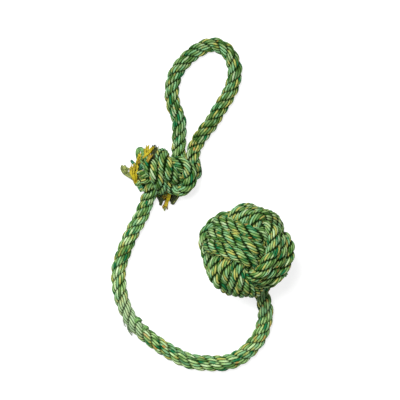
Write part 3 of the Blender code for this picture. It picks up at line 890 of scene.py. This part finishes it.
# %% [markdown]
# The fist, the lead and the end in the knot are one rope on the real object, so they
# are one path here. Slack rope isn't the same width all along: the lead is widest
# where it turns back, and narrow where it is worn. Its width is a list of a few
# places along the lead, each with its share of the full width. Its finish has the
# worn place, which is faded for a few centimetres.

# %% The long rope's path
SLACK_WIDTHS = [(0.00, 1.03), (0.12, 1.05), (0.28, 1.09), (0.48, 1.06), (0.58, 0.98),
                (0.64, 0.94), (0.74, 1.02), (1.00, 1.00)]
WORN_AT = (-0.0626, -0.0973, 0.0062)
WORN_HALF = 2.6              # centimetres of faded rope, to each side of that place
full_lead = smooth_route(np.vstack([fist[::-1], lead[1:]]), RING)
lead_places = lengths_along(full_lead)
at_hole = lead_places[nearest_to(full_lead, fist[0])]
at_knot = lead_places[nearest_to(full_lead, lead[lead_in])]
near_hole = np.clip((lead_places - at_hole) / TAPER, 0.0, 1.0)
near_knot = np.clip((at_knot - lead_places) / TAPER, 0.0, 1.0)
full_lead_width = FIST_ROPE + (ROPE - FIST_ROPE) * near_hole
full_lead_width -= (ROPE - KNOT_ROPE) * (1.0 - near_knot)
share = (lead_places - at_hole) / (at_knot - at_hole)
full_lead_width *= np.where(share > 0.0, np.interp(share, *zip(*SLACK_WIDTHS)), 1.0)
worn_place = lead_places[nearest_to(full_lead, np.array(WORN_AT) + moved)]
rope_lead = rope_finish("faded_rope", strength=1.30, pale=0.014, dip_shade=0.96, shade=0.70,
                        spread=0.84, worn=(100.0 * worn_place, WORN_HALF))
print("the long rope is", round(lead_places[-1], 3), "m, and worn",
      round(worn_place - at_hole, 3), "m from the fist")

# %% [markdown]
# The lead is the slack stretch on the floor, from the fist to the knot. It could be
# left as the part has it, with a bump map, but it is the stretch that is seen best,
# so it is laid like the rest.

# %% The lead
lead_piece = rope_stretch("lead_rope_laid", full_lead, full_lead_width, at_hole, at_knot,
                          rope_lead)
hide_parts("lead_rope")

# %% [markdown]
# The eye is the slack part of the second rope. It stands open above the knot, and a
# hook or a hand would take hold of it there. It is made in the same way as the lead,
# but its dye looks fresher and deeper than the lead's.

# %% The eye
full_eye = smooth_route(eye, RING)
eye_places = lengths_along(full_eye)
at_left = eye_places[nearest_to(full_eye, eye[left_in])]
at_right = eye_places[nearest_to(full_eye, eye[right_in])]
full_eye_width = drawn_width(eye_places, (at_left, at_right), KNOT_ROPE)
eye_piece = rope_stretch("eye_laid", full_eye, full_eye_width, at_left, at_right,
                         rope_eye)
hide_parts("eye_loop")

# %% [markdown]
# The fist's nine turns belong to the same path. They are cut only where one set of
# turns leads into the next, as the part's solids are, and the strands run on across
# the cuts. The fist's own finish paints more shade into its grooves than the lead's.

# %% The fist
set_cuts = [at_hole * (1.0 - share) for share in set_shares]
set_bounds = [at_hole, *set_cuts, 0.0]
set_names = ("fist_first_turns", "fist_second_turns", "fist_third_turns")
for node, high, low in zip(set_names, set_bounds[:-1], set_bounds[1:]):
    piece = rope_stretch(node + "_laid", full_lead, full_lead_width, low, high, rope_fist)
    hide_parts(node)

# %% [markdown]
# Inside the knot the lead's end and both legs of the eye are drawn tight. The left
# leg makes the two wraps that hold the other two. All three go on along the paths
# that have settled above, so a loop can make them. The slope of the yarns comes from
# a path's mean width. The long rope is thinnest in the fist, far from here, so its
# widths are first raised to the knot's, or that stretch would change the slope.

# %% The knot
knot_parts = [
    ("knot_lead_end", full_lead, full_lead_width, at_knot, lead_places[-1]),
    ("knot_left_leg_wraps", full_eye, full_eye_width, 0.0, at_left),
    ("knot_right_leg", full_eye, full_eye_width, at_right, eye_places[-1]),
]
for node, path, width, first, last in knot_parts:
    piece = rope_stretch(node + "_laid", path, np.maximum(width, KNOT_ROPE), first, last,
                         rope_knot)
    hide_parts(node)
bpy.data.objects.remove(outline, do_unlink=True)  # no more strands are swept with it

# %% [markdown]
# A cut end of rope opens into strands, and the strands into loose yarns. Hair could
# stand for them, but hair isn't a mesh, and these yarns are thick enough to be one.
# A bunch is a number of yarns that follow one guide line. It says how far they
# spread at its start and at its tip, how thick they are, and how short the shortest
# is. Chance places each yarn.

# %% One bunch of yarns
GUIDE_STEP = 0.0008          # from point to point of a yarn
FEWEST_POINTS = 6            # even a short yarn has these
STRAY = 0.6                  # radians that a yarn may stray round its bunch
CLEAR_MIDDLE = 0.02          # share of a bunch's area, in its middle, without yarns
WAVES = (3.0, 8.0)           # how wavy a yarn is, in radians from end to end
WAVE_START = 6.0             # its first wave starts up to this far on
WAVE_HEIGHT = (0.2, 1.1)     # of its own thickness, at the tip
OPENING = 0.8                # under 1, a bunch opens early
UNEVEN = (0.8, 1.15)         # the thinnest yarn and the thickest, as shares
YARN_TAPER = 0.45            # of its thickness is gone at a yarn's tip


def bunch(curve, guide, count, spreads, thick, shortest, chance, slot):
    """Add one bunch of yarns to a curve, along one guide line."""
    guide = smooth_route(np.array(guide) + moved, GUIDE_STEP)
    side, up = side_directions(guide)
    for k in range(count):
        ends = max(FEWEST_POINTS, int(len(guide) * chance.uniform(shortest, 1.0)))
        t = np.linspace(0.0, 1.0, ends)[:, None]
        turn = 2.0 * math.pi * k / count + chance.uniform(-STRAY, STRAY)
        far = math.sqrt(chance.uniform(CLEAR_MIDDLE, 1.0))
        out = math.cos(turn) * side[:ends] + math.sin(turn) * up[:ends]
        wave = np.sin(t * chance.uniform(*WAVES) + chance.uniform(0.0, WAVE_START))
        spread = far * (spreads[0] + (spreads[1] - spreads[0]) * t ** OPENING)
        points = guide[:ends] + out * spread
        points = points + up[:ends] * wave * t * thick * chance.uniform(*WAVE_HEIGHT)
        slimmer = 1.0 - YARN_TAPER * t[:, 0] ** 3
        radius = thick / 2.0 * slimmer * chance.uniform(*UNEVEN)
        points[:, 2] = np.maximum(points[:, 2], radius + FLOOR_AIR)
        spline = curve.splines.new("POLY")
        spline.material_index = slot
        spline.points.add(len(points) - 1)
        spline.points.foreach_set("co", np.hstack([points, np.ones_like(t)]).ravel())
        spline.points.foreach_set("radius", radius)


# %% [markdown]
# A tuft is a few bunches in one piece. All of them are splines of one curve, so the
# sweep is done once for the whole tuft. Its chance comes from a seed of its own that
# never changes, so a change to one tuft leaves the others as they are.

# %% A tuft of loose yarns
ROUND_YARN = 2               # how finely a yarn is rounded


def loose_yarns(name, seed, bunches, node=None):
    """One piece of loose yarns, made of several bunches."""
    chance = np.random.default_rng(seed)
    curve = bpy.data.curves.new(name, "CURVE")
    curve.dimensions = "3D"
    curve.bevel_depth = 1.0
    curve.bevel_resolution = ROUND_YARN
    curve.use_fill_caps = True
    finishes = []
    for guide, count, spreads, thick, shortest, finish in bunches:
        if finish not in finishes:
            finishes.append(finish)
            curve.materials.append(finish)
        bunch(curve, guide, count, spreads, thick, shortest, chance, finishes.index(finish))
    mesh = swept_mesh(name, curve)
    mesh.shade_smooth()
    obj = put(name, mesh)
    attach(obj, "root")
    if node is not None:
        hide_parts(node)
    print(name, sum(item[1] for item in bunches), "yarns")


# %% [markdown]
# Loose yarns catch more light than laid ones, and show their fibres as fine lines
# along them. The brightest bunches are yellow, and the rest are straw or some green.
# A swept yarn's UV map runs along it and round it, so the same kind of streaks can
# be used, between two colours instead of along a ramp.

# %% Finish of the loose yarns
SPOTS = 420.0                # changes of tone in a metre, across all the yarns
YARN_FIBRES = (9.0, 3.0)     # streaks round a yarn, and from its start to its tip
YARN_RANGE = (0.36, 0.62)    # the noise's values from the deep colour to the light one


def yarn_finish(name, light, deep):
    """One dyed colour with fibres that run along the yarn."""
    mat, tree, shader = new_finish(name)
    along, across = yarn_map(tree)
    place = add_node(tree, "ShaderNodeTexCoord")
    spots = add_node(tree, "ShaderNodeTexNoise")
    spots.inputs["Scale"].default_value = SPOTS
    tree.links.new(place.outputs["Object"], spots.inputs["Vector"])
    streak = patches(tree, maths(tree, "MULTIPLY", across, YARN_FIBRES[0]),
                     maths(tree, "MULTIPLY", along, YARN_FIBRES[1]), 5.0, 2.0)
    both = maths(tree, "ADD", maths(tree, "MULTIPLY", streak, 0.5),
                 maths(tree, "MULTIPLY", spots.outputs["Fac"], 0.5))
    plug(tree, shader.inputs["Base Color"],
         mixed(tree, ranged(tree, both, *YARN_RANGE), deep, light))
    shader.inputs["Roughness"].default_value = 0.6
    shader.inputs["Specular IOR Level"].default_value = 0.3
    raise_fibres(tree, shader, streak, 0.5, 0.0003)
    return mat


yellow_yarn = yarn_finish("loose_yellow_yarn", written(192, 176, 28), written(122, 106, 6))
olive_yarn = yarn_finish("loose_olive_yarn", written(146, 156, 84), written(50, 66, 24))
mint_yarn = yarn_finish("loose_mint_yarn", written(118, 164, 92), written(40, 86, 40))
teal_yarn = yarn_finish("loose_teal_yarn", written(70, 140, 100), written(20, 76, 50))
pale_yarn = yarn_finish("loose_pale_yarn", written(126, 146, 110), written(66, 92, 58))
# This near-black yarn is also used as painted shade: for the strands at the foot and in the gap
# beside the yellow bunch at the left.
dark_yarn = yarn_finish("loose_dark_yarn", written(64, 74, 34), written(14, 22, 8))
straw_yarn = yarn_finish("loose_straw_yarn", written(172, 146, 48), written(98, 76, 14))
print("finishes of loose yarns:", sum("loose" in mat.name for mat in bpy.data.materials))

# %% [markdown]
# The lead's cut end and the right leg's end point left. One yellow bunch stands up
# from them, a thick green one curls away, and a ragged fringe hangs round the top of
# the wrap that lies farthest left. Scattered yarns would look like any frayed end, so
# each bunch that can be told apart in the photograph has a guide line of its own, and
# chance only places the yarns inside it.

# %% Tufts at the left
loose_yarns("left_tuft", 11, [
    ([(-0.0571, 0.0164, 0.0120), (-0.0579, 0.0207, 0.0140), (-0.0584, 0.0250, 0.0150),
      (-0.0582, 0.0294, 0.0140), (-0.0576, 0.0338, 0.0125)],
     34, (0.0006, 0.0042), 0.0012, 0.84, yellow_yarn),
    ([(-0.0579, 0.0207, 0.0130), (-0.0603, 0.0250, 0.0130), (-0.0614, 0.0283, 0.0120),
      (-0.0606, 0.0318, 0.0110)], 8, (0.0008, 0.0012), 0.0012, 0.80, yellow_yarn),
    # This dark bunch lies in the shaded gap between the yellow bunch and the wrap; its
    # near-black colour is painted shade.
    ([(-0.0540, 0.0337, 0.0090), (-0.0544, 0.0305, 0.0100), (-0.0550, 0.0250, 0.0100)],
     20, (0.0022, 0.0024), 0.0014, 0.90, dark_yarn),
    ([(-0.0517, 0.0348, 0.0110), (-0.0522, 0.0315, 0.0120), (-0.0527, 0.0278, 0.0120)],
     10, (0.0016, 0.0018), 0.0014, 0.90, teal_yarn),
    ([(-0.0550, 0.0290, 0.0105), (-0.0576, 0.0325, 0.0105), (-0.0594, 0.0344, 0.0098),
      (-0.0608, 0.0357, 0.0090), (-0.0620, 0.0372, 0.0080)],
     10, (0.0014, 0.0008), 0.0011, 0.90, teal_yarn),
], "left_fray_tuft")
loose_yarns("left_curl", 12, [
    ([(-0.0555, 0.0206, 0.0110), (-0.0600, 0.0230, 0.0104), (-0.0640, 0.0250, 0.0095),
      (-0.0668, 0.0272, 0.0090), (-0.0684, 0.0300, 0.0085), (-0.0683, 0.0318, 0.0080),
      (-0.0674, 0.0326, 0.0078)], 26, (0.0025, 0.0015), 0.0013, 0.94, olive_yarn),
    ([(-0.0672, 0.0322, 0.0095), (-0.0656, 0.0302, 0.0100), (-0.0628, 0.0280, 0.0105)],
     9, (0.0008, 0.0012), 0.0012, 0.90, olive_yarn),
], "left_fray_curl")
loose_yarns("left_fringe", 13, [
    ([(-0.0472, 0.0366, 0.0150), (-0.0507, 0.0404, 0.0150), (-0.0508, 0.0440, 0.0150),
      (-0.0522, 0.0462, 0.0145), (-0.0546, 0.0458, 0.0140), (-0.0552, 0.0429, 0.0130),
      (-0.0546, 0.0380, 0.0110), (-0.0530, 0.0330, 0.0095)],
     22, (0.0017, 0.0014), 0.0012, 0.80, mint_yarn),
    ([(-0.0535, 0.0300, 0.0085), (-0.0560, 0.0346, 0.0110), (-0.0548, 0.0381, 0.0140),
      (-0.0532, 0.0408, 0.0155), (-0.0522, 0.0432, 0.0150)],
     12, (0.0014, 0.0012), 0.0012, 0.86, yellow_yarn),
    ([(-0.0546, 0.0350, 0.0140), (-0.0522, 0.0372, 0.0160), (-0.0498, 0.0398, 0.0180),
      (-0.0485, 0.0416, 0.0180)], 14, (0.0016, 0.0014), 0.0012, 0.84, straw_yarn),
    ([(-0.0514, 0.0376, 0.0240), (-0.0476, 0.0404, 0.0300), (-0.0444, 0.0440, 0.0290),
      (-0.0419, 0.0473, 0.0250)], 14, (0.0006, 0.0018), 0.0012, 0.80, yellow_yarn),
    ([(-0.0478, 0.0392, 0.0260), (-0.0472, 0.0446, 0.0250), (-0.0467, 0.0499, 0.0210)],
     15, (0.0016, 0.0015), 0.0012, 0.78, yellow_yarn),
    ([(-0.0485, 0.0402, 0.0220), (-0.0489, 0.0435, 0.0210), (-0.0499, 0.0464, 0.0180)],
     6, (0.0010, 0.0008), 0.0012, 0.80, yellow_yarn),
    ([(-0.0468, 0.0352, 0.0360), (-0.0450, 0.0385, 0.0335), (-0.0424, 0.0412, 0.0300)],
     7, (0.0008, 0.0012), 0.0012, 0.80, straw_yarn),
    ([(-0.0430, 0.0376, 0.0280), (-0.0414, 0.0445, 0.0250), (-0.0418, 0.0498, 0.0200)],
     20, (0.0024, 0.0015), 0.0013, 0.86, dark_yarn),
    ([(-0.0400, 0.0425, 0.0230), (-0.0390, 0.0458, 0.0210), (-0.0384, 0.0478, 0.0190)],
     7, (0.0012, 0.0010), 0.0013, 0.86, olive_yarn),
    ([(-0.0476, 0.0191, 0.0215), (-0.0489, 0.0218, 0.0205), (-0.0500, 0.0237, 0.0190)],
     8, (0.0010, 0.0014), 0.0012, 0.80, straw_yarn),
], "left_fray_fringe")

# %% [markdown]
# Both cut ends at the left still show the tips of their yarns. A flat cap on each
# strand would look sawn off, so short straight bunches fill the end of the rope and
# stand a little out of it.

# %% Tips of the cut ends
TIP_STEPS = (-0.0040, -0.0020, 0.0000, 0.0014)  # along the rope, from its cut end
TIP_SPREAD = (0.0050, 0.0052)
TIP_YARNS = 22


def cut_end(place, heading, colours):
    """Bunches of short yarns that fill the cut face of a rope."""
    onward = np.array(heading) / np.linalg.norm(heading)
    guide = [tuple(np.array(place) + step * onward) for step in TIP_STEPS]
    return [(guide, TIP_YARNS, TIP_SPREAD, 0.0017, 0.86, finish) for finish in colours]


loose_yarns("lead_end_tips", 31, cut_end(LEAD_END_ROUTE[-1], (-0.93, -0.36, 0.0),
                                         (olive_yarn, mint_yarn, straw_yarn)))
loose_yarns("right_leg_tips", 32, cut_end(RIGHT_LEG_ROUTE[-1], (-0.84, -0.46, -0.3),
                                          (mint_yarn, teal_yarn, mint_yarn)))

# %% [markdown]
# The left leg's end comes out at the foot of the knot. Two of its strands lie in the
# shade under the wraps, and their near-black colour is painted shade. The third has
# opened into yellow and straw yarns. The dark ones are bunches as well, but thicker
# and closer, so that they still look like strands.

# %% Tufts at the foot
loose_yarns("foot_left", 14, [
    ([(-0.0385, 0.0075, 0.0060), (-0.0362, 0.0025, 0.0050), (-0.0366, -0.0018, 0.0030)],
     12, (0.0018, 0.0010), 0.0014, 0.84, dark_yarn),
    ([(-0.0359, 0.0109, 0.0070), (-0.0343, 0.0066, 0.0050), (-0.0334, 0.0020, 0.0035)],
     18, (0.0026, 0.0018), 0.0014, 0.84, dark_yarn),
    ([(-0.0318, 0.0110, 0.0040), (-0.0316, 0.0068, 0.0035), (-0.0322, 0.0020, 0.0028)],
     20, (0.0026, 0.0016), 0.0014, 0.84, dark_yarn),
], "foot_fray_left")
loose_yarns("foot_middle", 15, [
    ([(-0.0324, 0.0072, 0.0060), (-0.0325, 0.0067, 0.0090), (-0.0326, 0.0064, 0.0115)],
     22, (0.0020, 0.0019), 0.0012, 0.92, straw_yarn),
    ([(-0.0281, 0.0096, 0.0100), (-0.0297, 0.0044, 0.0090), (-0.0313, 0.0006, 0.0070),
      (-0.0332, -0.0021, 0.0050)], 12, (0.0012, 0.0011), 0.0012, 0.86, yellow_yarn),
    ([(-0.0309, 0.0030, 0.0080), (-0.0333, -0.0018, 0.0050), (-0.0351, -0.0052, 0.0030)],
     7, (0.0008, 0.0008), 0.0012, 0.80, straw_yarn),
    ([(-0.0312, 0.0026, 0.0070), (-0.0326, -0.0028, 0.0045), (-0.0331, -0.0068, 0.0025)],
     7, (0.0008, 0.0006), 0.0012, 0.80, olive_yarn),
    ([(-0.0304, 0.0034, 0.0080), (-0.0307, -0.0018, 0.0055), (-0.0304, -0.0053, 0.0035)],
     7, (0.0009, 0.0006), 0.0012, 0.80, straw_yarn),
], "foot_fray_middle")
loose_yarns("foot_right", 16, [
    ([(-0.0212, 0.0085, 0.0060), (-0.0240, 0.0039, 0.0050), (-0.0272, -0.0010, 0.0035)],
     18, (0.0018, 0.0013), 0.0014, 0.84, dark_yarn),
    ([(-0.0240, 0.0098, 0.0050), (-0.0268, 0.0055, 0.0045), (-0.0289, 0.0012, 0.0040)],
     14, (0.0016, 0.0016), 0.0014, 0.84, dark_yarn),
    ([(-0.0206, 0.0072, 0.0070), (-0.0232, 0.0030, 0.0060), (-0.0262, -0.0008, 0.0045)],
     4, (0.0010, 0.0010), 0.0012, 0.80, olive_yarn),
], "foot_fray_right")

# %% [markdown]
# Where the lead is worn, broken fibres lie along its outer side, and two yarns have
# been pulled out of its inner side into small loops. The fibres are far thinner than
# yarns and belong to no cut end, so they are pieces that the part doesn't have.

# %% Worn fibres and pulled yarns
loose_yarns("lead_fibres", 21, [
    ([(-0.0676, -0.0945, 0.0060), (-0.0676, -0.1000, 0.0050), (-0.0664, -0.1056, 0.0040)],
     9, (0.0006, 0.0012), 0.0005, 0.60, pale_yarn),
    ([(-0.0650, -0.1000, 0.0060), (-0.0632, -0.1070, 0.0050), (-0.0590, -0.1138, 0.0040)],
     10, (0.0006, 0.0018), 0.0005, 0.60, pale_yarn),
])
loose_yarns("lead_loops", 22, [
    ([(-0.0585, -0.1015, 0.0085), (-0.0562, -0.0984, 0.0105), (-0.0544, -0.0982, 0.0100),
      (-0.0536, -0.1004, 0.0080)], 14, (0.0015, 0.0015), 0.0013, 0.94, mint_yarn),
    ([(-0.0515, -0.1083, 0.0085), (-0.0496, -0.1051, 0.0105), (-0.0478, -0.1047, 0.0100),
      (-0.0468, -0.1070, 0.0080)], 14, (0.0015, 0.0015), 0.0013, 0.94, mint_yarn),
])

# %% [markdown]
# The ball in the middle of the fist stays as the part has it. Only slivers of it
# could ever show between the turns, so it gets a plain dark wood.

# %% The ball
def ball_finish():
    """Dull wood with faint rings."""
    mat, tree, shader = new_finish("dull_wood")
    place = add_node(tree, "ShaderNodeTexCoord")
    rings = add_node(tree, "ShaderNodeTexWave")
    rings.inputs["Scale"].default_value = 260.0
    rings.inputs["Distortion"].default_value = 3.0
    tree.links.new(place.outputs["Object"], rings.inputs["Vector"])
    plug(tree, shader.inputs["Base Color"],
         mixed(tree, rings.outputs["Fac"], written(92, 66, 38), written(120, 88, 54)))
    shader.inputs["Roughness"].default_value = 0.75
    return mat


ball = bpy.data.objects["fist_core"]
ball.material_slots[0].material = ball_finish()
print("the ball is", round((core_high - core_low).max() * 1000, 1), "mm across")

# %% [markdown]
# The floor is one large plane. Plain white, lit by the lamps alone, would come out
# grey and throw light back up at the rope. So it is grey to the object, and a glow
# that only the camera and reflections see makes it white, with a soft shade left
# beside the rope.

# %% Floor
FLOOR_ACROSS = 8.0
FLOOR_GREY = (0.40, 0.40, 0.40, 1.0)
FLOOR_GLOW = 0.76


def floor_finish():
    """White to the camera, with a soft shadow left on it."""
    mat, tree, shader = new_finish("white_floor")
    shader.inputs["Base Color"].default_value = FLOOR_GREY
    shader.inputs["Roughness"].default_value = 0.9
    out = tree.nodes["Material Output"]
    glow = add_node(tree, "ShaderNodeEmission")
    rays = add_node(tree, "ShaderNodeLightPath")
    seen = maths(tree, "MAXIMUM", rays.outputs["Is Camera Ray"],
                 maths(tree, "MAXIMUM", rays.outputs["Is Glossy Ray"],
                       rays.outputs["Is Transmission Ray"]))
    plug(tree, glow.inputs["Strength"], maths(tree, "MULTIPLY", seen, FLOOR_GLOW))
    both = add_node(tree, "ShaderNodeAddShader")
    tree.links.new(shader.outputs[0], both.inputs[0])
    tree.links.new(glow.outputs[0], both.inputs[1])
    tree.links.new(both.outputs[0], out.inputs["Surface"])
    return mat


bpy.ops.mesh.primitive_plane_add(size=FLOOR_ACROSS, location=(0.0, 0.0, 0.0))
floor = bpy.context.object
floor.name = "floor"
floor.data.materials.append(floor_finish())
print("the floor is", FLOOR_ACROSS, "m across")

# %% [markdown]
# One broad lamp stands high at the upper left and gives the strands their shape. A
# second, weaker one opens the shade from the lower right, and the white world does
# the rest.

# %% Lamps
WORLD_LIGHT = 0.11


def lamp(name, place, size, power):
    """A square lamp that looks at the object."""
    data = bpy.data.lights.new(name, "AREA")
    data.size = size
    data.energy = power
    obj = put(name, data)
    obj.location = place
    away = -np.array(place)
    flat = math.hypot(away[0], away[1])
    obj.rotation_euler = (math.atan2(flat, -away[2]), 0.0, math.atan2(-away[0], away[1]))
    print(name, "lamp:", power, "watts,", round(math.dist(place, (0.0, 0.0, 0.0)), 2), "m off")


lamp("key", (-0.34, 0.42, 1.36), size=0.70, power=32.0)
lamp("fill", (0.50, -0.40, 1.20), size=1.00, power=4.0)
world = bpy.data.worlds.new("studio")
bpy.context.scene.world = world
world.use_nodes = True
sky = world.node_tree.nodes["Background"]
sky.inputs["Color"].default_value = (1.0, 1.0, 1.0, 1.0)
sky.inputs["Strength"].default_value = WORLD_LIGHT
bpy.context.scene.view_settings.view_transform = "Standard"
